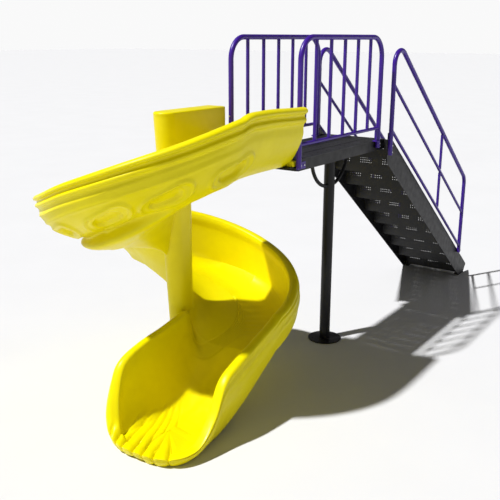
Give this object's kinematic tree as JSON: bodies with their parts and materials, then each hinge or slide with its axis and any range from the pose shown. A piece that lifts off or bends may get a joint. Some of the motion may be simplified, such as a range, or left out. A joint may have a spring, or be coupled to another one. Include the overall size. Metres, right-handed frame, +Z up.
{
  "type": "spiral pool slide",
  "caption": "Spiral water slide with a moulded yellow flume around a round column, a steel deck on one post with violet tube guards, and a black stair with violet handrails.",
  "frame": {"origin": "centre of the deck post's base plate, on the ground", "axes": "+X runs from the flume side towards the foot of the stair, +Y away from the side on which the flume runs out, +Z up"},
  "size_m": [6.5391, 1.9685, 3.26],
  "materials": {
    "yellow_plastic": "glossy moulded polyethylene",
    "violet_steel": "gloss powder coat",
    "black_steel": "satin powder coat",
    "zinc_fixings": "bright zinc plate"
  },
  "bodies": {
    "root": {"base_plate": "black_steel", "centre_post": "black_steel", "post_head_plate": "black_steel", "brace_flume_side": "black_steel", "brace_stair_side": "black_steel", "deck_beam_near": "black_steel", "deck_beam_far": "black_steel", "deck_beam_flume_end": "black_steel", "deck_beam_stair_end": "black_steel", "deck_cross_members": "black_steel", "deck_plank_1": "black_steel", "deck_plank_2": "black_steel", "deck_plank_3": "black_steel", "deck_plank_4": "black_steel", "guard_near_hoop": "violet_steel", "guard_near_balusters": "violet_steel", "guard_near_bottom_rail": "violet_steel", "guard_near_feet": "violet_steel", "guard_far_hoop": "violet_steel", "guard_far_balusters": "violet_steel", "guard_far_bottom_rail": "violet_steel", "guard_far_feet": "violet_steel", "guard_bolts": "zinc_fixings", "stringer_near": "black_steel", "stringer_far": "black_steel", "tread_1": "black_steel", "tread_2": "black_steel", "tread_3": "black_steel", "tread_4": "black_steel", "tread_5": "black_steel", "tread_6": "black_steel", "tread_7": "black_steel", "tread_8": "black_steel", "tread_9": "black_steel", "top_riser": "black_steel", "stair_foot_plates": "black_steel", "handrail_near_loop": "violet_steel", "handrail_near_mid_rail": "violet_steel", "handrail_near_lower_bar": "violet_steel", "handrail_near_baluster": "violet_steel", "handrail_far_loop": "violet_steel", "handrail_far_mid_rail": "violet_steel", "handrail_far_lower_bar": "violet_steel", "handrail_far_baluster": "violet_steel", "handrail_bolts": "zinc_fixings", "flume_entry": "yellow_plastic", "flume_upper_turn": "yellow_plastic", "flume_back_run": "yellow_plastic", "flume_lower_turn": "yellow_plastic", "flume_run_out": "yellow_plastic", "exit_scoop": "yellow_plastic", "flume_column": "yellow_plastic", "flume_entry_lip": "yellow_plastic", "flume_entry_flange": "black_steel", "flume_bolts": "zinc_fixings"}
  },
  "joints": []
}
